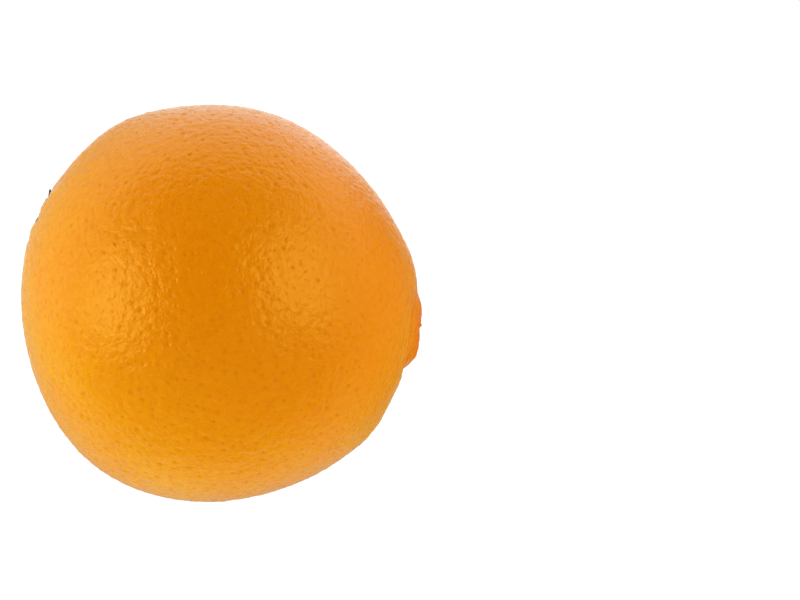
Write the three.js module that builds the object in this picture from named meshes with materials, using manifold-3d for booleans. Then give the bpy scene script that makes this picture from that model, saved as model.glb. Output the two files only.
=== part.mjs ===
// A whole navel orange lying on its side, as picked: the fruit, and the dry calyx left at its stem end.
//
// Millimetres, +Z up. The origin is the middle of the small flat spot that the orange rests on.
// The stem end points to -X and upwards, the navel end points to +X and slightly down, and -Y is the front.
//
// The fruit is one skin: its distance from the core in any direction is a mean radius plus a few broad
// swellings and flats, the navel mound at one end and the dimple under the calyx at the other.

import * as THREE from "three";
import { mergeVertices } from "three/addons/utils/BufferGeometryUtils.js";
import Module from "manifold-3d";

const wasm = await Module();
wasm.setup();

const { clamp, degToRad, lerp, smoothstep } = THREE.MathUtils;

// ---- Driving dimensions ----

const BODY_RADIUS = 42;
const REST_SPOT_RADIUS = 6.5;

// Directions are a turn in the X-Z plane, from +X towards +Z, and then a lean out of it, towards -Y.
const NAVEL_TURN = -7.5;
const STEM_TURN = 152.5;
const STEM_LEAN = -2;

// Broad swellings (positive) and flats (negative) of the body. Spread is the bell's width, as an angle.
const SWELLINGS = [
  { turn: 118, lean: 0, height: 1.2, spread: 10 }, // upper shoulder, by the stem
  { turn: 234, lean: 12, height: 0.8, spread: 14 }, // lower shoulder, by the stem
  { turn: 320, lean: 6, height: 0.8, spread: 6 }, // low corner under the navel
  { turn: 10, lean: 0, height: 0.8, spread: 6 }, // brow above the navel
  { turn: 42, lean: -4, height: -1.1, spread: 17 }, // flat on the upper right
  { turn: 188, lean: 8, height: -1.3, spread: 21 }, // flat below the stem
  { turn: 286, lean: 10, height: -0.6, spread: 12 }, // flat beside the rest spot
  { turn: 80, lean: 80, height: -0.5, spread: 34 }, // front
  { turn: 100, lean: -80, height: -0.9, spread: 30 }, // back
  { turn: 210, lean: -50, height: 0.6, spread: 20 }, // back shoulder, by the stem
  { turn: 330, lean: -48, height: 0.4, spread: 22 }, // back shoulder, by the navel
];

// Navel: a low round mound, the end of a second small fruit, with a crease round its lower side.
const MOUND_RADIUS = 9;
const MOUND_HEIGHT = 1.25;
const MOUND_TILT = 0.35; // how much higher its lower edge is, and lower its upper edge, as a share
const MOUND_FALL = [0.55, 1]; // shares of the radius where it starts and ends to fall, above and below
const MOUND_SIDE_FALL = [0.15, 1.45]; // and at its sides, where it runs softly into the body
const CREASE_DEPTH = 0.5;
const CREASE_WIDTH = 0.55;
const OPENING_RADIUS = 1.5;
const OPENING_DEPTH = 1.6;
const PLEAT_COUNT = 7;
const PLEAT_HEIGHT = 0.12;

// Stem end: a shallow dimple under the calyx, with furrows running out of it between low ribs.
const DIMPLE_SPREAD = 3.4;
const DIMPLE_DEPTH = 1.6;
const FURROW_COUNT = 9;
const FURROW_DEPTH = 0.25;
const FURROW_MIDDLE = 6.5;
const FURROW_SPREAD = 2.2;

// Calyx: a thin five-lobed star with the stub of the cut stem in its middle.
const CALYX_GAP = 0.3;
const CALYX_RADIUS = 4.4;
const STUB_RADIUS = 1.75;
const CALYX_LOBE_TURNS = [40, 140, 205, 270, 335];
const CALYX_LOBE_SPREAD = 18;
const CALYX_LOBE_SHARE = 0.16; // how far the lobes reach out and the bays in, as a share of the radius
const CALYX_PROFILE = [
  // distance from the stem's axis, height above the gap
  [0, 0.95],
  [0.7, 1],
  [1.25, 1.15],
  [1.6, 1],
  [STUB_RADIUS, 0.7],
  [2.3, 0.55],
  [3.2, 0.5],
  [4, 0.5],
  [CALYX_RADIUS, 0.35],
  [4.2, 0.1],
  [3, 0],
  [1.5, 0],
  [0, 0],
];

// Rings of the skin, counted from the navel: close together at both ends, where the detail is.
const NAVEL_ZONE = 16;
const STEM_ZONE = 14;
const NAVEL_RINGS = 24;
const BODY_RINGS = 28;
const STEM_RINGS = 11;
const SKIN_SEGMENTS = 72;
const CALYX_SEGMENTS = 50;

// ---- Directions ----

function direction(turn, lean = 0) {
  const flat = Math.cos(degToRad(lean));
  return new THREE.Vector3(
    flat * Math.cos(degToRad(turn)),
    -Math.sin(degToRad(lean)),
    flat * Math.sin(degToRad(turn)),
  );
}

const navelAxis = direction(NAVEL_TURN);
const stemAxis = direction(STEM_TURN, STEM_LEAN);

// The two directions square to an axis from which turns round it are counted: up towards +Z, and side
// a quarter turn from it, which is towards +Y at the navel and towards -Y at the stem.
function squareTo(axis) {
  const up = new THREE.Vector3(0, 0, 1).projectOnPlane(axis).normalize();
  const side = new THREE.Vector3().crossVectors(up, axis);
  return { up, side };
}

// Where a direction lies round an axis: its distance along the skin, and its turn from up towards side.
function around(axis, aim) {
  const { up, side } = squareTo(axis);
  return {
    distance: BODY_RADIUS * axis.angleTo(aim),
    turn: Math.atan2(aim.dot(side), aim.dot(up)),
  };
}

function bell(distance, spread) {
  return Math.exp(-0.5 * (distance / spread) ** 2);
}

// ---- The skin ----

function navelRelief(aim) {
  const { distance, turn } = around(navelAxis, aim);
  const lowerSide = (0.5 - 0.5 * Math.cos(turn)) ** 2;
  const sideShare = Math.sin(turn) ** 2;
  const fall = smoothstep(
    distance / MOUND_RADIUS,
    lerp(MOUND_FALL[0], MOUND_SIDE_FALL[0], sideShare),
    lerp(MOUND_FALL[1], MOUND_SIDE_FALL[1], sideShare),
  );
  const tilt = 1 - (MOUND_TILT * distance * Math.cos(turn)) / MOUND_RADIUS;
  const mound = MOUND_HEIGHT * tilt * (1 - fall);
  const crease = -CREASE_DEPTH * lowerSide * bell(distance - MOUND_RADIUS, CREASE_WIDTH);
  const opening = -OPENING_DEPTH * bell(distance, OPENING_RADIUS / 2);
  const pleated = bell(distance - 2 * OPENING_RADIUS, OPENING_RADIUS);
  const pleats = PLEAT_HEIGHT * Math.cos(PLEAT_COUNT * turn) * pleated;
  return mound + crease + opening + pleats;
}

function stemRelief(aim) {
  const { distance, turn } = around(stemAxis, aim);
  const dimple = -DIMPLE_DEPTH * bell(distance, DIMPLE_SPREAD);
  const furrowed = bell(distance - FURROW_MIDDLE, FURROW_SPREAD);
  const furrows = -FURROW_DEPTH * Math.sin(FURROW_COUNT * turn) * furrowed;
  return dimple + furrows;
}

function skinRadius(aim) {
  let radius = BODY_RADIUS + navelRelief(aim) + stemRelief(aim);
  for (const { turn, lean, height, spread } of SWELLINGS) {
    radius += height * bell(aim.angleTo(direction(turn, lean)), degToRad(spread));
  }
  return radius;
}

function onSkin(aim) {
  return aim.clone().multiplyScalar(skinRadius(aim));
}

// The flat spot is cut where the skin below the core is as wide as the spot.
const restHeight = -Math.sqrt(skinRadius(direction(270)) ** 2 - REST_SPOT_RADIUS ** 2);

// ---- From a three.js geometry to a solid and back ----

function solidOf(geometry) {
  const bare = geometry.clone();
  bare.deleteAttribute("normal");
  bare.deleteAttribute("uv");
  const merged = mergeVertices(bare, 1e-4);
  return new wasm.Manifold(
    new wasm.Mesh({
      numProp: 3,
      vertProperties: merged.attributes.position.array,
      triVerts: new Uint32Array(merged.index.array),
    }),
  );
}

function geometryOf(solid) {
  const mesh = solid.getMesh();
  const geometry = new THREE.BufferGeometry();
  geometry.setAttribute("position", new THREE.BufferAttribute(mesh.vertProperties, mesh.numProp));
  geometry.setIndex(new THREE.BufferAttribute(mesh.triVerts, 1));
  geometry.computeVertexNormals();
  return geometry;
}

function eachVertex(geometry, place) {
  const positions = geometry.attributes.position;
  const vertex = new THREE.Vector3();
  for (let i = 0; i < positions.count; i++) {
    const placed = place(vertex.fromBufferAttribute(positions, i));
    positions.setXYZ(i, placed.x, placed.y, placed.z);
  }
}

// ---- Fruit ----

function ringAngles() {
  const zones = [
    [0, NAVEL_ZONE, NAVEL_RINGS],
    [NAVEL_ZONE, 180 - STEM_ZONE, BODY_RINGS],
    [180 - STEM_ZONE, 180, STEM_RINGS],
  ];
  const angles = [0];
  for (const [from, to, count] of zones) {
    for (let i = 1; i <= count; i++) {
      angles.push(from + ((to - from) * i) / count);
    }
  }
  return angles;
}

function makeFruit() {
  // A unit sphere turned about its own axis, from the stem's pole to the navel's.
  const meridian = ringAngles()
    .reverse()
    .map((angle) => new THREE.Vector2(Math.sin(degToRad(angle)), Math.cos(degToRad(angle))));
  meridian[0].x = 0;
  meridian[meridian.length - 1].x = 0;
  const geometry = new THREE.LatheGeometry(meridian, SKIN_SEGMENTS);

  // The core is bent: the ring at each share of the way from the navel to the stem turns a little further.
  const sideways = new THREE.Vector3(0, 1, 0);
  const toNavel = degToRad(90 - NAVEL_TURN);
  const bend = degToRad(180 + NAVEL_TURN - STEM_TURN);
  eachVertex(geometry, (vertex) => {
    const share = Math.acos(clamp(vertex.y, -1, 1)) / Math.PI;
    // The lathe's axis is Y: stand it up along Z, then turn it over sideways.
    const aim = new THREE.Vector3(vertex.x, -vertex.z, vertex.y);
    aim.applyAxisAngle(sideways, toNavel + bend * share);
    return onSkin(aim.normalize());
  });

  return geometryOf(solidOf(geometry).trimByPlane([0, 0, 1], restHeight));
}

// ---- Calyx ----

// How far out the calyx's edge lies at a turn, as a share of its mean radius.
function lobeReach(turn) {
  let lobes = 0;
  for (const middle of CALYX_LOBE_TURNS) {
    const away = Math.atan2(Math.sin(turn - degToRad(middle)), Math.cos(turn - degToRad(middle)));
    lobes += bell(away, degToRad(CALYX_LOBE_SPREAD));
  }
  return 1 + CALYX_LOBE_SHARE * (2 * lobes - 1);
}

function makeCalyx() {
  const profile = CALYX_PROFILE.map(([across, height]) => new THREE.Vector2(across, height));
  const geometry = new THREE.LatheGeometry(profile.reverse(), CALYX_SEGMENTS);
  const { up, side } = squareTo(stemAxis);
  eachVertex(geometry, (vertex) => {
    const turn = Math.atan2(vertex.z, vertex.x);
    const across = Math.hypot(vertex.x, vertex.z);
    const lobed = lerp(1, lobeReach(turn), smoothstep(across, STUB_RADIUS, CALYX_RADIUS));
    const aim = stemAxis.clone().multiplyScalar(BODY_RADIUS);
    aim.addScaledVector(up, across * lobed * Math.cos(turn));
    aim.addScaledVector(side, across * lobed * Math.sin(turn));
    return onSkin(aim.normalize()).addScaledVector(stemAxis, CALYX_GAP + vertex.y);
  });
  return geometryOf(solidOf(geometry));
}

// ---- Assembly ----

function piece(name, geometry, color, roughness) {
  const mesh = new THREE.Mesh(geometry, new THREE.MeshStandardMaterial({ color, roughness, metalness: 0 }));
  mesh.name = name;
  return mesh;
}

// The middle of the flat spot, as seen from below.
function middleOfRestSpot(geometry) {
  const spot = new THREE.Box3();
  eachVertex(geometry, (vertex) => {
    if (Math.abs(vertex.z - restHeight) < 1e-3) spot.expandByPoint(vertex);
    return vertex;
  });
  return spot.getCenter(new THREE.Vector3());
}

const fruit = makeFruit();
const orange = new THREE.Group();
orange.add(piece("fruit", fruit, 0xee930c, 0.4));
orange.add(piece("calyx", makeCalyx(), 0x6a6a45, 0.85));
orange.position.copy(middleOfRestSpot(fruit)).negate();

export default orange;
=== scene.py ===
"""The looks of a whole navel orange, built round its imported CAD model.

Metres, in the model's frame: the orange rests on z = 0, its navel points to +X, its stem
end to -X and upwards, and -Y is the front. Two pieces stand for the two CAD nodes: the
skin with its pits, and the dry calyx.
"""

import math

import bmesh
import bpy
import numpy as np
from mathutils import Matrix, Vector, noise
from mathutils.bvhtree import BVHTree
from mathutils.geometry import delaunay_2d_cdt
from mathutils.kdtree import KDTree


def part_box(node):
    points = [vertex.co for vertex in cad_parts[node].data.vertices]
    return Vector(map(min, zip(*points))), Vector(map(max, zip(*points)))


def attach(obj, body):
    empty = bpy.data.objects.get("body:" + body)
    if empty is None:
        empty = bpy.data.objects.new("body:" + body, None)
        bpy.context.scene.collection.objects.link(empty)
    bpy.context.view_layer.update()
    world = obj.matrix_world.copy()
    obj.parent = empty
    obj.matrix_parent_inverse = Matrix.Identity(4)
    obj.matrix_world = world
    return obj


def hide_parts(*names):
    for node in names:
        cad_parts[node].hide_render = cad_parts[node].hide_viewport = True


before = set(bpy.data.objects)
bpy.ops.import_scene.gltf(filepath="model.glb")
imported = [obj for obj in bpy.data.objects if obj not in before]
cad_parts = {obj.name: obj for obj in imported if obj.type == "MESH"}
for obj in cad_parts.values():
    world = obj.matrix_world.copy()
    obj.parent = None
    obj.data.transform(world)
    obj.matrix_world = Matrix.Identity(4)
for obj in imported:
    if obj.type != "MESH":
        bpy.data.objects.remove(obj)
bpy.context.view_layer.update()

MM = 0.001
SEED = 11

# ---- Rounding off the CAD model ----

SUBDIVISIONS = 3
PAIRED_FACE_ANGLE = 40  # two triangles pair into a quad if they bend by less, in degrees
PAIRED_SHAPE_ANGLE = 60  # and if the quad's corners are this close to square

# ---- Skin: sizes in millimetres ----

MEAN_RADIUS = 42
FILL_SPACING = 0.6
FINE_SPACING = 0.3  # round the navel and the calyx
FINE_REACH = 7.5
FILL_JITTER = 0.16

PIT_SPACING = 1.6
PIT_TRIES = 26_000
PIT_PATCH = 7  # size of the patches in which pits are denser or sparser
PIT_CHANCES = (-0.75, 0.35)  # range of the noise level under which a pit is left out
PIT_RADIUS = (0.3, 0.8)
PIT_SIZE_POWER = 1.4  # above 1, small pits outnumber large ones
PIT_SLOPE = (0.13, 0.3)  # depth as a share of the radius
PIT_POWER = 1.5  # how bowl-shaped a pit is
PIT_WARP = 0.22  # how far a pit's outline strays from a circle
PIT_RINGS = ((0.5, 5), (1.0, 7))  # vertices round a pit: share of its radius, and how many
PIT_CLEARANCE = 1.35  # the net between the pits keeps this far off, in radii
PIT_FADE = (2.5, 7)  # pits deepen over these distances from the navel and the calyx
RIM_HEIGHT = 0.12  # as a share of the pit's depth
RIM_PLACE = 1.2  # in radii
RIM_SPREAD = 0.25

PEBBLE_SIZE = 1.4
PEBBLE_HEIGHT = 0.08
PEBBLE_WARP = 0.6
PEBBLE_STEEPNESS = 1.4
PEBBLE_DROP = 0.4  # share of a pebble's height that lies below the mean skin
DENT_SIZE = 1.5
DENT_HEIGHT = 0.12
SWELL_SIZE = 3.2
SWELL_HEIGHT = 0.05
RELIEF_FADE = (0.8, 4)  # pits and pebbles set in over these distances from the navel

# Wrinkles that run outwards: how many, how high, their distance from the axis, its spread.
NAVEL_PLEATS = (11, 0.15, 1.9, 0.8)
NAVEL_WRINKLES = (17, 0.12, 4.4, 1.7)
STEM_WRINKLES = (24, 0.1, 6.0, 1.9)
STEM_FADE = (4.8, 6.2)  # none under the calyx
NAVEL_RINGS = ((6.2, 0.32, 0.16), (8.9, 0.4, 0.35))  # creases: radius, width and depth
NAVEL_HOLE_RADIUS = 1.15
NAVEL_HOLE_DEPTH = 1.1
NAVEL_HOLE_WALL = (0.35, 1.3)  # where its wall starts and ends, in radii
NAVEL_REACH = 12
CREASE_FULL_SHADE_DEPTH = 0.35  # a crease this deep has the full painted crease shade

# ---- Calyx: sizes in millimetres, turns in degrees round the stem's axis ----

LOBE_TURNS = (40, 140, 205, 270, 335)
LOBE_SPREAD = 15
LOBE_SHARE = 0.36  # a lobe reaches this much further than the notch between two
NOTCH_SHARE = 0.27  # a notch is this much nearer than the CAD form's edge
LEAF_BAND = (2.1, 3.9)  # the lobes part between these radii
TIP_BAND = (3.4, 4.8)
TIP_CURL = 0.28
VEIN_SPREAD = 5
VEIN_HEIGHT = 0.22
RAGGED_SHARE = 0.16
RAGGED_HEIGHT = 0.2
GRAIN_HEIGHT = 0.09
STUB_BAND = (1.4, 2.0)
STUB_HEIGHT = 0.3
RING_RADIUS = 1.05
RING_SPREAD = 0.22
RING_DEPTH = 0.35

# ---- Colours and gloss ----

# The peel is paler towards the sides and deeper towards the front: partly its own tone, partly
# painted light at the sides and painted shade on the dim front.
PALE_PEEL_AND_PAINTED_LIGHT = (0.89, 0.395, 0.0008)
DEEP_PEEL_AND_PAINTED_SHADE = (0.86, 0.252, 0.0004)
BACK_PEEL = (0.84, 0.285, 0.0005)
DEEP_AND_PAINTED_SHADE_SIDE = np.array([0.34, -0.84, 0.42])  # the deepest colour faces this way: partly the peel's own tone, partly painted shade
PATCH_PEEL = (0.86, 0.25, 0.001)
MOTTLE_PEEL = (0.8, 0.19, 0.001)
NAVEL_PEEL_AND_PAINTED_SHADE = (0.82, 0.17, 0.001)
# Painted shade in the pits:
PIT_PAINTED_SHADE = (0.62, 0.125, 0.0)
# Painted shade in the folds, the creases and the navel's hole:
CREASE_PAINTED_SHADE = (0.55, 0.085, 0.0)
DARK_CORK = (0.16, 0.06, 0.015)
PALE_CORK = (0.5, 0.27, 0.09)
NAVEL_TINT_AND_SHADE_REACH = 16  # millimetres; the navel's redder peel, spread wider as painted shade on the mound
SCAR_RADIUS = 1.9  # millimetres
SCAR_FRAY = 0.9
PEEL_ROUGHNESS = (0.16, 0.23)
GLOSS_TINT = (1, 0.9, 0.14, 1)  # holds the blue back, so that gloss doesn't pale the orange
COARSE_BUMP = (1.1, 0.22, 1.0)  # size and height in millimetres, and strength
FINE_BUMP = (0.5, 0.12, 0.8)

DARK_SEPAL = (0.03, 0.026, 0.012)
DULL_SEPAL = (0.12, 0.1, 0.042)
PALE_SEPAL = (0.27, 0.2, 0.1)
VEIN = (0.26, 0.2, 0.11)
TIP = (0.05, 0.036, 0.02)
DARK_FIBRE = (0.12, 0.075, 0.035)
PALE_FIBRE = (0.52, 0.4, 0.24)
CALYX_RADIUS = 5  # millimetres
FIBRE_SIZE = 0.35  # millimetres
FIBRE_BUMP = 0.15  # millimetres
CALYX_ROUGHNESS = 0.85

# ---- Camera ----

LENS = 100
SENSOR = 36
CAMERA_DISTANCE = 0.469
CAMERA_ELEVATION = 8
AIM_RIGHT = 0.0375  # the orange stands left of the picture's middle
AIM_UP = 0.0005

# ---- Studio: a direction is an azimuth and an elevation, in degrees ----

# Levels of the surroundings: the direction each turns on, the cosines at which it starts
# and ends, and its values before and after.
BACK_LEVEL = (180, 2, -0.03, 0.1, 0.03, 0.65)
SHADES = (
    (131, -7, 0.71, 0.92, 1, 0.1),
    (-135, 12, 0.76, 0.97, 1, 0.35),
    (0, 90, -0.35, 0.0, 0.35, 1),
)
GLOSSY_LEVEL = 1.85  # how much brighter the surroundings look in the gloss
LIGHT_DISTANCE = 0.8
# Soft boxes: a direction, the width and height seen from the orange in degrees, a brightness.
BOXES = {
    "left_box": (-72, 18, 66, 76, 1.86),
    "right_box": (88, 24, 62, 66, 1.68),
    "top_box": (0, 66, 60, 40, 0.72),
}
SHINES = {  # these show only in the gloss, and the others only outside it
    "left_shine": (-56, 8, 34, 42, 3.0),
    "right_shine": (52, 18, 40, 44, 2.3),
}
FLOOR_HALF = 4.0
FLOOR_COLOUR = (0.1, 0.1, 0.1, 1)
FLOOR_ROUGHNESS = 0.9
WHITE = (1, 1, 1, 1)

random = np.random.default_rng(SEED)
noise.seed_set(SEED)  # noise_vector differs from run to run without it


# ---- Small helpers ----


def bell(distance, spread):
    return np.exp(-0.5 * (distance / spread) ** 2)


def smoothstep(value, low, high):
    share = np.clip((value - low) / (high - low), 0, 1)
    return share * share * (3 - 2 * share)


def unit(vectors):
    return vectors / np.linalg.norm(vectors, axis=-1, keepdims=True)


def square_to(axis):
    """Two unit directions square to an axis and to each other, the first nearest to +Z."""
    up = np.array([0.0, 0.0, 1.0])
    up = unit(up - axis * axis.dot(up))
    return up, np.cross(up, axis)


def tree_of(points):
    tree = KDTree(len(points))
    for i, point in enumerate(points):
        tree.insert(point, i)
    tree.balance()
    return tree


def add_object(name, data):
    holder = bpy.data.objects.new(name, data)
    bpy.context.scene.collection.objects.link(holder)
    return holder


def store(mesh, **attributes):
    """Keep values at the mesh's vertices, for its material to read."""
    for name, values in attributes.items():
        layer = mesh.attributes.new(name, "FLOAT", "POINT")
        layer.data.foreach_set("value", values.astype(np.float32))


# ---- The CAD model as smooth surfaces ----


def smooth_mesh(node):
    """A CAD node's mesh with its facets rounded off, and the two points its rings close on."""
    bm = bmesh.new()
    bm.from_mesh(node.data)
    bmesh.ops.remove_doubles(bm, verts=bm.verts, dist=1e-6)
    bmesh.ops.join_triangles(
        bm,
        faces=bm.faces,
        angle_face_threshold=math.radians(PAIRED_FACE_ANGLE),
        angle_shape_threshold=math.radians(PAIRED_SHAPE_ANGLE),
    )
    bm.verts.ensure_lookup_table()
    poles = sorted(bm.verts, key=lambda vertex: -len(vertex.link_edges))[:2]
    poles = [np.array(vertex.co) for vertex in poles]
    mesh = bpy.data.meshes.new(node.name + "_smooth")
    bm.to_mesh(mesh)
    bm.free()
    holder = add_object(mesh.name, mesh)
    holder.modifiers.new("Round", "SUBSURF").levels = SUBDIVISIONS
    graph = bpy.context.evaluated_depsgraph_get()
    smooth = bpy.data.meshes.new_from_object(holder.evaluated_get(graph))
    bpy.data.objects.remove(holder)
    return smooth, poles


fruit_mesh, fruit_poles = smooth_mesh(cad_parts["fruit"])
low, high = (np.array(corner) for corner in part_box("fruit"))
core = (low + high) / 2
# The fruit's rings close on the stem's end, towards -X, and on the navel's middle.
stem_pole, navel_pole = sorted(fruit_poles, key=lambda pole: pole[0])
stem_axis = unit(stem_pole - core)
navel_axis = unit(navel_pole - core)


# ---- Skin ----


def sphere_lattice(spacing):
    """Unit directions spread evenly over a sphere of the mean radius, this far apart."""
    count = int(4 * math.pi * MEAN_RADIUS**2 / spacing**2)
    steps = np.arange(count) + 0.5
    height = 1 - 2 * steps / count
    turn = steps * math.pi * (3 - math.sqrt(5))
    flat = np.sqrt(1 - height**2)
    return np.stack([flat * np.cos(turn), flat * np.sin(turn), height], axis=1)


def scattered(tries, spacing):
    """Random unit directions, none nearer to another than the spacing, thinned in patches."""
    kept = np.empty((tries, 3))
    count = 0
    nearest = math.cos(spacing / MEAN_RADIUS)
    chances = random.uniform(*PIT_CHANCES, tries)
    for aim, chance in zip(unit(random.normal(size=(tries, 3))), chances):
        if noise.noise(Vector(aim) * (MEAN_RADIUS / PIT_PATCH)) < chance:
            continue
        if count == 0 or (kept[:count] @ aim).max() < nearest:
            kept[count] = aim
            count += 1
    return kept[:count]


def beside(aims, across, turn):
    """The directions a distance across from each aim, at a turn round it."""
    first = unit(np.cross(aims, [0.3, 0.5, 0.81]))
    second = np.cross(aims, first)
    offset = first * np.cos(turn)[:, None] + second * np.sin(turn)[:, None]
    return unit(aims + offset * (across / MEAN_RADIUS)[:, None])


def arc(aims, axis):
    """How far each direction is from an axis, in millimetres along the skin."""
    return MEAN_RADIUS * np.arccos(np.clip(aims @ axis, -1, 1))


def from_end(aims):
    """How far each direction is from the nearer of the navel and the stem."""
    return np.minimum(arc(aims, navel_axis), arc(aims, stem_axis))


def turn_round(aims, axis):
    """Each direction's turn round an axis, in radians."""
    up, side = square_to(axis)
    return np.arctan2(aims @ side, aims @ up)


def skin_directions(pits, radii):
    """Where the skin's vertices lie: on every pit, in rings round it, and evenly between."""
    parts = [pits]
    for share, count in PIT_RINGS:
        start = random.uniform(0, 2 * math.pi, len(pits))
        for i in range(count):
            parts.append(beside(pits, radii * share, start + 2 * math.pi * i / count))
    fine = sphere_lattice(FINE_SPACING)
    coarse = sphere_lattice(FILL_SPACING)
    fine = fine[from_end(fine) < FINE_REACH]
    coarse = coarse[from_end(coarse) >= FINE_REACH]
    between = np.concatenate([fine, coarse])
    jitter = random.uniform(0, FILL_JITTER, len(between))
    between = beside(between, jitter, random.uniform(0, 2 * math.pi, len(between)))
    tree = tree_of(pits)
    clear = []
    for aim in between:
        _, nearest, distance = tree.find(aim)
        clear.append(distance * MEAN_RADIUS > radii[nearest] * PIT_CLEARANCE)
    parts.append(between[clear])
    return np.concatenate(parts)


def sphere_faces(aims):
    """The triangles of an even net over unit directions.

    The first direction is a point of view from which all the others lie on a flat net.
    """
    centre = aims[0]
    up, side = square_to(centre)
    away = 1 - aims[1:] @ centre
    flat = np.stack([aims[1:] @ up / away, aims[1:] @ side / away], axis=1)
    points = [Vector(point) for point in flat.tolist()]
    _, _, faces, sources, _, _ = delaunay_2d_cdt(points, [], [], 0, 1e-12)
    faces = np.array([[sources[corner][0] + 1 for corner in face] for face in faces])
    # The net's outer edge closes on the first direction.
    edges = np.concatenate([faces[:, [0, 1]], faces[:, [1, 2]], faces[:, [2, 0]]])
    keys = {tuple(edge) for edge in edges.tolist()}
    rim = [[b, a, 0] for a, b in keys if (b, a) not in keys]
    faces = np.concatenate([faces, np.array(rim)])
    first, second, third = (aims[faces[:, corner]] for corner in range(3))
    outward = (np.cross(second - first, third - first) * first).sum()
    if outward < 0:
        faces = faces[:, ::-1]
    return faces


def cast_on(mesh, aims):
    """Where each direction from the core meets the mesh."""
    tree = BVHTree.FromPolygons(
        [vertex.co for vertex in mesh.vertices],
        [face.vertices for face in mesh.polygons],
    )
    return np.array([tree.ray_cast(core, aim)[0] for aim in aims.tolist()])


def pit_relief(aims, pits, radii, depths):
    """The pits' depth below the skin in millimetres, and how far inside a pit each aim is."""
    tree = tree_of(pits)
    depth = np.zeros(len(aims))
    inside = np.zeros(len(aims))
    for i, aim in enumerate(aims):
        stray = noise.noise_vector(Vector(aim) * MEAN_RADIUS) * (PIT_WARP / MEAN_RADIUS)
        _, nearest, distance = tree.find(Vector(aim) + stray)
        share = distance * MEAN_RADIUS / radii[nearest]
        bowl = max(0.0, 1 - share * share) ** PIT_POWER
        rim = RIM_HEIGHT * math.exp(-0.5 * ((share - RIM_PLACE) / RIM_SPREAD) ** 2)
        depth[i] = depths[nearest] * (bowl - rim)
        inside[i] = bowl
    return depth, inside


def pebbles(aims):
    """The low uneven ground between pits, in millimetres."""
    height = np.empty(len(aims))
    for i, aim in enumerate(aims):
        point = Vector(aim) * MEAN_RADIUS
        stray = noise.noise_vector(point / 2) * PEBBLE_WARP
        near, next_near = noise.voronoi((point + stray) / PEBBLE_SIZE)[0][:2]
        pebble = min(1.0, PEBBLE_STEEPNESS * (next_near - near)) - PEBBLE_DROP
        dent = noise.noise(point / DENT_SIZE)
        swell = noise.fractal(point / SWELL_SIZE, 0.6, 2.0, 2)
        height[i] = PEBBLE_HEIGHT * pebble + DENT_HEIGHT * dent + SWELL_HEIGHT * swell
    return height


def wrinkles(aims, axis, count, height, middle, spread):
    """Uneven wrinkles that run outwards from an axis, in millimetres."""
    across = arc(aims, axis)
    turn = turn_round(aims, axis)
    fold = np.zeros(len(aims))
    for i in np.flatnonzero(across < middle + 3 * spread):
        x, y = math.cos(turn[i]), math.sin(turn[i])
        wander = noise.noise(Vector((x, y, across[i] / 4)) * 1.7)
        share = 1 + 1.2 * noise.noise(Vector((y, across[i] / 3, x)) * 2.3)
        fold[i] = share * (2 * abs(math.sin(count * turn[i] / 2 + 4 * wander)) - 1)
    return height * fold * bell(across - middle, spread)


def navel_hollows(aims):
    """The depth of the navel's puckered hole and of the creases round it, in millimetres."""
    across = arc(aims, navel_axis)
    turn = turn_round(aims, navel_axis)
    wall_start, wall_end = NAVEL_HOLE_WALL
    depth = np.zeros(len(aims))
    for i in np.flatnonzero(across < NAVEL_REACH):
        place = Vector((math.cos(turn[i]), math.sin(turn[i]), 0))
        bend = noise.noise(place * 1.3 + Vector((5, 0, 0)))
        star = NAVEL_HOLE_RADIUS * (1 + 0.45 * noise.noise(place * 2.6))
        wall = smoothstep(across[i], wall_start * star, wall_end * star)
        depth[i] = NAVEL_HOLE_DEPTH * (1 - wall)
        for radius, width, crease in NAVEL_RINGS:
            # Noise breaks each crease up, and it is deepest below the navel.
            broken = 1.2 * noise.noise(place * 0.9 + Vector((0, radius, 3)))
            share = max(0.0, 0.4 - 0.6 * place.x + broken)
            offset = (across[i] - radius * (1 + 0.2 * bend)) / width
            depth[i] += crease * share * math.exp(-0.5 * offset**2)
    return depth


def make_skin():
    pits = scattered(PIT_TRIES, PIT_SPACING)
    small, large = PIT_RADIUS
    radii = small + (large - small) * random.uniform(0, 1, len(pits)) ** PIT_SIZE_POWER
    depths = radii * random.uniform(*PIT_SLOPE, len(pits))
    depths *= smoothstep(from_end(pits), *PIT_FADE)
    aims = skin_directions(pits, radii)
    faces = sphere_faces(aims)
    surface = cast_on(fruit_mesh, aims)
    depth, inside = pit_relief(aims, pits, radii, depths)
    from_navel = arc(aims, navel_axis)
    from_stem = arc(aims, stem_axis)
    relief = (pebbles(aims) - depth) * smoothstep(from_navel, *RELIEF_FADE)
    folds = wrinkles(aims, navel_axis, *NAVEL_PLEATS)
    folds += wrinkles(aims, navel_axis, *NAVEL_WRINKLES)
    folds += wrinkles(aims, stem_axis, *STEM_WRINKLES) * smoothstep(from_stem, *STEM_FADE)
    folds -= navel_hollows(aims)
    points = surface + aims * ((relief + folds) * MM)[:, None]
    points[:, 2] = np.maximum(points[:, 2], 0)
    mesh = bpy.data.meshes.new("orange_skin")
    mesh.from_pydata(points.tolist(), [], faces.tolist())
    mesh.validate()
    mesh.shade_smooth()
    # The stored values steer the colour: the pit and crease masks carry painted shade, and the
    # side mask is partly the peel's tone, partly painted light and shade.
    store(
        mesh,
        pit=inside,
        ripeness=(1 + aims @ DEEP_AND_PAINTED_SHADE_SIDE) / 2,
        crease=np.clip(-folds / CREASE_FULL_SHADE_DEPTH, 0, 1),
        from_navel=from_navel,
    )
    return add_object("orange_skin", mesh)


# ---- Calyx ----


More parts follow.
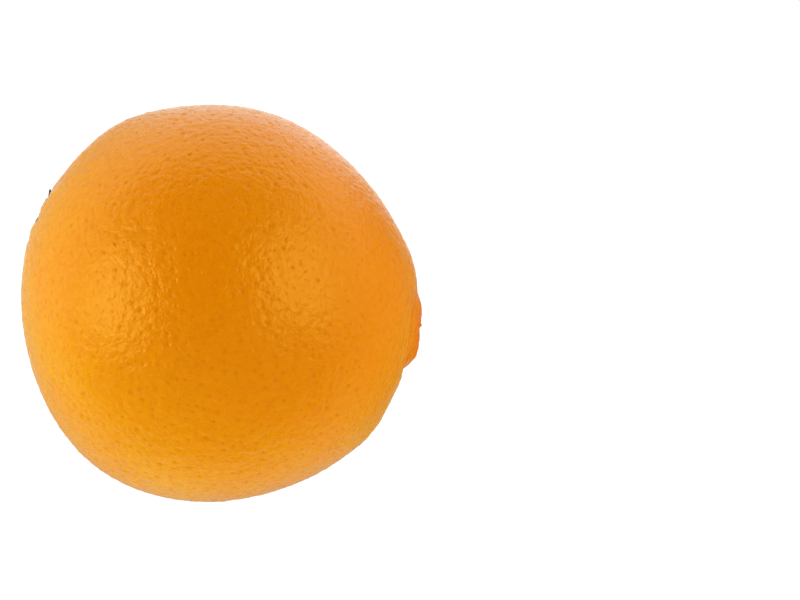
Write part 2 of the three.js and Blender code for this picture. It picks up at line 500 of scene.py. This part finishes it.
def make_calyx():
    """The dry star of sepals round the stub of the stem, on the CAD node's own form."""
    mesh, _ = smooth_mesh(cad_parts["calyx"])
    mesh.name = "calyx_star"
    up, side = square_to(stem_axis)
    points = np.empty(len(mesh.vertices) * 3)
    mesh.vertices.foreach_get("co", points)
    offsets = (points.reshape(-1, 3) - stem_pole) / MM
    height, along, across = offsets @ stem_axis, offsets @ up, offsets @ side
    radius = np.hypot(along, across)
    turn = np.degrees(np.arctan2(across, along))
    from_lobes = [np.abs((turn - lobe + 180) % 360 - 180) for lobe in LOBE_TURNS]
    from_lobe = np.min(from_lobes, axis=0)
    lobe = bell(from_lobe, LOBE_SPREAD)
    leaf = smoothstep(radius, *LEAF_BAND)
    stub = 1 - smoothstep(radius, *STUB_BAND)
    ragged = np.array([noise.noise(Vector(offset) * 1.1) for offset in offsets])
    grain = np.array([noise.noise(Vector(offset) * 3.1) for offset in offsets])
    reach = radius * (1 + leaf * (LOBE_SHARE * lobe - NOTCH_SHARE + RAGGED_SHARE * ragged))
    curl = TIP_CURL * lobe * smoothstep(radius, *TIP_BAND)
    vein = VEIN_HEIGHT * bell(from_lobe, VEIN_SPREAD)
    ring = RING_DEPTH * bell(radius - RING_RADIUS, RING_SPREAD)
    height += leaf * (curl + vein + RAGGED_HEIGHT * ragged)
    height += GRAIN_HEIGHT * grain + stub * (STUB_HEIGHT * ragged - ring)
    scale = reach / np.maximum(radius, 1e-6)
    shaped = (
        stem_axis * height[:, None]
        + up * (along * scale)[:, None]
        + side * (across * scale)[:, None]
    )
    mesh.vertices.foreach_set("co", (stem_pole + shaped * MM).ravel())
    mesh.shade_smooth()
    store(mesh, stub=stub, lobe=lobe, from_middle=radius)
    return add_object("calyx_star", mesh)


# ---- Materials ----


class Nodes:
    """A material's node tree, with short calls to add and join nodes."""

    def __init__(self, name):
        self.material = bpy.data.materials.new(name)
        self.material.use_nodes = True
        self.tree = self.material.node_tree
        self.shader = self.tree.nodes["Principled BSDF"]
        self.place = self.add("ShaderNodeTexCoord").outputs["Object"]

    def add(self, kind, **settings):
        node = self.tree.nodes.new(kind)
        for name, value in settings.items():
            setattr(node, name, value)
        return node

    def link(self, source, target):
        self.tree.links.new(source, target)

    def noise(self, size, detail=3, roughness=0.5):
        """Noise whose lumps are about this many millimetres across."""
        node = self.add("ShaderNodeTexNoise")
        node.inputs["Scale"].default_value = 1 / (size * MM)
        node.inputs["Detail"].default_value = detail
        node.inputs["Roughness"].default_value = roughness
        self.link(self.place, node.inputs["Vector"])
        return node.outputs["Fac"]

    def ramp(self, source, *stops):
        """A smooth colour or grey scale: stops are (place, colour or grey)."""
        node = self.add("ShaderNodeValToRGB")
        ramp = node.color_ramp
        ramp.interpolation = "EASE"
        while len(ramp.elements) < len(stops):
            ramp.elements.new(0.5)
        for element, (place, colour) in zip(ramp.elements, stops):
            if not isinstance(colour, tuple):
                colour = (colour,) * 3
            element.position = place
            element.color = (*colour, 1)
        self.link(source, node.inputs["Fac"])
        return node.outputs["Color"]

    def mix(self, share, first, second):
        """The first colour, with a share of the second: each is a tuple or an output."""
        node = self.add("ShaderNodeMix", data_type="RGBA")
        for name, kind, value in (
            ("Factor", "VALUE", share),
            ("A", "RGBA", first),
            ("B", "RGBA", second),
        ):
            socket = next(s for s in node.inputs if (s.name, s.type) == (name, kind))
            if isinstance(value, tuple):
                socket.default_value = (*value, 1)
            else:
                self.link(value, socket)
        return next(s for s in node.outputs if s.type == "RGBA")

    def bump(self, height, distance, strength=1.0, normal=None):
        node = self.add("ShaderNodeBump")
        node.inputs["Strength"].default_value = strength
        node.inputs["Distance"].default_value = distance * MM
        self.link(height, node.inputs["Height"])
        if normal is not None:
            self.link(normal, node.inputs["Normal"])
        return node.outputs["Normal"]

    def attribute(self, name):
        return self.add("ShaderNodeAttribute", attribute_name=name).outputs["Fac"]

    def scaled(self, name, full):
        """An attribute in millimetres as a share of a full length."""
        node = self.add("ShaderNodeMath", operation="DIVIDE")
        self.link(self.attribute(name), node.inputs[0])
        node.inputs[1].default_value = full
        return node.outputs[0]


def peel_material():
    peel = Nodes("orange_peel")
    # Paler sides and a deeper front: partly the peel's own tone, partly painted light and
    # painted shade.
    ripeness = peel.attribute("ripeness")
    colour = peel.ramp(ripeness, (0.05, BACK_PEEL), (0.45, PALE_PEEL_AND_PAINTED_LIGHT), (0.96, DEEP_PEEL_AND_PAINTED_SHADE))
    patches = peel.ramp(peel.noise(14, 2), (0.35, 0.0), (0.65, 0.25))
    colour = peel.mix(patches, colour, PATCH_PEEL)
    mottle = peel.ramp(peel.noise(1.6, 4), (0.4, 0.0), (0.75, 0.3))
    colour = peel.mix(mottle, colour, MOTTLE_PEEL)
    # Redder and darker round the navel: partly the peel's own colour, partly painted shade on
    # the mound.
    from_navel = peel.scaled("from_navel", NAVEL_TINT_AND_SHADE_REACH)
    colour = peel.mix(peel.ramp(from_navel, (0.12, 0.85), (0.9, 0.0)), colour, NAVEL_PEEL_AND_PAINTED_SHADE)
    # Painted shade: the peel is darkened inside the pits.
    pits = peel.ramp(peel.attribute("pit"), (0.0, 0.0), (1.0, 0.15))
    colour = peel.mix(pits, colour, PIT_PAINTED_SHADE)
    # Painted shade: the folds, creases and the navel's hole are darkened in colour.
    creases = peel.ramp(peel.attribute("crease"), (0.1, 0.0), (1.0, 0.5))
    colour = peel.mix(creases, colour, CREASE_PAINTED_SHADE)
    cork = peel.ramp(peel.noise(0.7, 4, 0.7), (0.35, DARK_CORK), (0.65, PALE_CORK))
    frayed = peel.add("ShaderNodeMath", operation="MULTIPLY_ADD")
    peel.link(peel.noise(0.9), frayed.inputs[0])
    frayed.inputs[1].default_value = SCAR_FRAY
    peel.link(peel.scaled("from_navel", SCAR_RADIUS), frayed.inputs[2])
    scar = peel.ramp(frayed.outputs[0], (0.75, 0.95), (1.0, 0.0))
    peel.link(peel.mix(scar, colour, cork), peel.shader.inputs["Base Color"])
    smooth, rough = PEEL_ROUGHNESS
    roughness = peel.ramp(peel.noise(2.2, 4), (0.3, smooth), (0.7, rough))
    peel.link(roughness, peel.shader.inputs["Roughness"])
    normal = None
    for size, height, strength in (COARSE_BUMP, FINE_BUMP):
        normal = peel.bump(peel.noise(size, 2), height, strength, normal)
    peel.link(normal, peel.shader.inputs["Normal"])
    peel.shader.inputs["Specular Tint"].default_value = GLOSS_TINT
    return peel.material


def calyx_material():
    dry = Nodes("dry_calyx")
    colour = dry.ramp(
        dry.noise(1.1, 5, 0.65), (0.35, DARK_SEPAL), (0.5, DULL_SEPAL), (0.66, PALE_SEPAL)
    )
    veins = dry.ramp(dry.attribute("lobe"), (0.55, 0.0), (1.0, 0.45))
    colour = dry.mix(veins, colour, VEIN)
    tips = dry.ramp(dry.scaled("from_middle", CALYX_RADIUS), (0.65, 0.0), (1.0, 0.8))
    colour = dry.mix(tips, colour, TIP)
    fibre = dry.ramp(dry.noise(FIBRE_SIZE, 4, 0.7), (0.38, DARK_FIBRE), (0.6, PALE_FIBRE))
    colour = dry.mix(dry.attribute("stub"), colour, fibre)
    dry.link(colour, dry.shader.inputs["Base Color"])
    normal = dry.bump(dry.noise(FIBRE_SIZE, 5, 0.7), FIBRE_BUMP)
    dry.link(normal, dry.shader.inputs["Normal"])
    dry.shader.inputs["Roughness"].default_value = CALYX_ROUGHNESS
    return dry.material


# ---- Stage ----


def direction(azimuth, elevation):
    """Azimuth 0 is the front, -Y, and 90 is +X."""
    azimuth = math.radians(azimuth)
    elevation = math.radians(elevation)
    flat = math.cos(elevation)
    return Vector((flat * math.sin(azimuth), -flat * math.cos(azimuth), math.sin(elevation)))


def seen_as(angle):
    """The width that fills this many degrees at the lights' distance."""
    return 2 * LIGHT_DISTANCE * math.tan(math.radians(angle / 2))


def softbox(name, azimuth, elevation, width, height, brightness, shine_only):
    light = bpy.data.lights.new(name, "AREA")
    light.shape = "RECTANGLE"
    light.size = seen_as(width)
    light.size_y = seen_as(height)
    light.energy = brightness * math.pi * light.size * light.size_y
    holder = add_object(name, light)
    outwards = direction(azimuth, elevation)
    holder.location = Vector(core) + outwards * LIGHT_DISTANCE
    holder.rotation_euler = outwards.to_track_quat("Z", "Y").to_euler()
    holder.visible_diffuse = not shine_only
    holder.visible_glossy = shine_only


def make_floor():
    """A plain white floor that glows evenly, with no shadow on it."""
    mesh = bpy.data.meshes.new("floor")
    half = FLOOR_HALF
    corners = [(-half, -half, 0), (half, -half, 0), (half, half, 0), (-half, half, 0)]
    mesh.from_pydata(corners, [], [(0, 1, 2, 3)])
    floor = add_object("floor", mesh)
    white = Nodes("floor")
    white.shader.inputs["Base Color"].default_value = FLOOR_COLOUR
    white.shader.inputs["Roughness"].default_value = FLOOR_ROUGHNESS
    white.shader.inputs["Emission Color"].default_value = WHITE
    white.shader.inputs["Emission Strength"].default_value = 1
    white.material.cycles.emission_sampling = "NONE"
    mesh.materials.append(white.material)
    floor.visible_glossy = False
    floor.visible_shadow = False


def make_world():
    """White to the camera. For the orange, bright behind and dim in front and below."""
    world = bpy.data.worlds.new("studio")
    bpy.context.scene.world = world
    world.use_nodes = True
    world.cycles.sampling_method = "NONE"
    tree = world.node_tree
    aim = tree.nodes.new("ShaderNodeTexCoord").outputs["Generated"]

    def towards(azimuth, elevation, start, end, before, after):
        """A level that changes as the sight line turns towards a direction."""
        facing = tree.nodes.new("ShaderNodeVectorMath")
        facing.operation = "DOT_PRODUCT"
        facing.inputs[1].default_value = direction(azimuth, elevation)
        tree.links.new(aim, facing.inputs[0])
        level = tree.nodes.new("ShaderNodeMapRange")
        level.interpolation_type = "SMOOTHSTEP"
        level.inputs["From Min"].default_value = start
        level.inputs["From Max"].default_value = end
        level.inputs["To Min"].default_value = before
        level.inputs["To Max"].default_value = after
        tree.links.new(facing.outputs["Value"], level.inputs["Value"])
        return level.outputs["Result"]

    def combine(operation, first, second):
        node = tree.nodes.new("ShaderNodeMath")
        node.operation = operation
        tree.links.new(first, node.inputs[0])
        tree.links.new(second, node.inputs[1])
        return node.outputs[0]

    level = towards(*BACK_LEVEL)
    for shade in SHADES:
        level = combine("MULTIPLY", level, towards(*shade))
    path = tree.nodes.new("ShaderNodeLightPath")
    glossy = tree.nodes.new("ShaderNodeMapRange")
    glossy.inputs["To Min"].default_value = 1
    glossy.inputs["To Max"].default_value = GLOSSY_LEVEL
    tree.links.new(path.outputs["Is Glossy Ray"], glossy.inputs["Value"])
    level = combine("MULTIPLY", level, glossy.outputs["Result"])
    level = combine("MAXIMUM", level, path.outputs["Is Camera Ray"])
    background = tree.nodes["Background"]
    background.inputs["Color"].default_value = WHITE
    tree.links.new(level, background.inputs["Strength"])


def make_camera():
    data = bpy.data.cameras.new("camera")
    data.lens = LENS
    data.sensor_width = SENSOR
    camera = add_object("camera", data)
    back = direction(0, CAMERA_ELEVATION)
    target = Vector(core) + Vector((AIM_RIGHT, 0, AIM_UP))
    camera.location = target + back * CAMERA_DISTANCE
    camera.rotation_euler = back.to_track_quat("Z", "Y").to_euler()
    bpy.context.scene.camera = camera


bpy.context.scene.view_settings.view_transform = "Standard"
make_camera()
make_world()
make_floor()
for name, settings in BOXES.items():
    softbox(name, *settings, shine_only=False)
for name, settings in SHINES.items():
    softbox(name, *settings, shine_only=True)

skin = make_skin()
skin.data.materials.append(peel_material())
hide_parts("fruit")
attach(skin, "root")

calyx = make_calyx()
calyx.data.materials.clear()
calyx.data.materials.append(calyx_material())
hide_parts("calyx")
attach(calyx, "root")
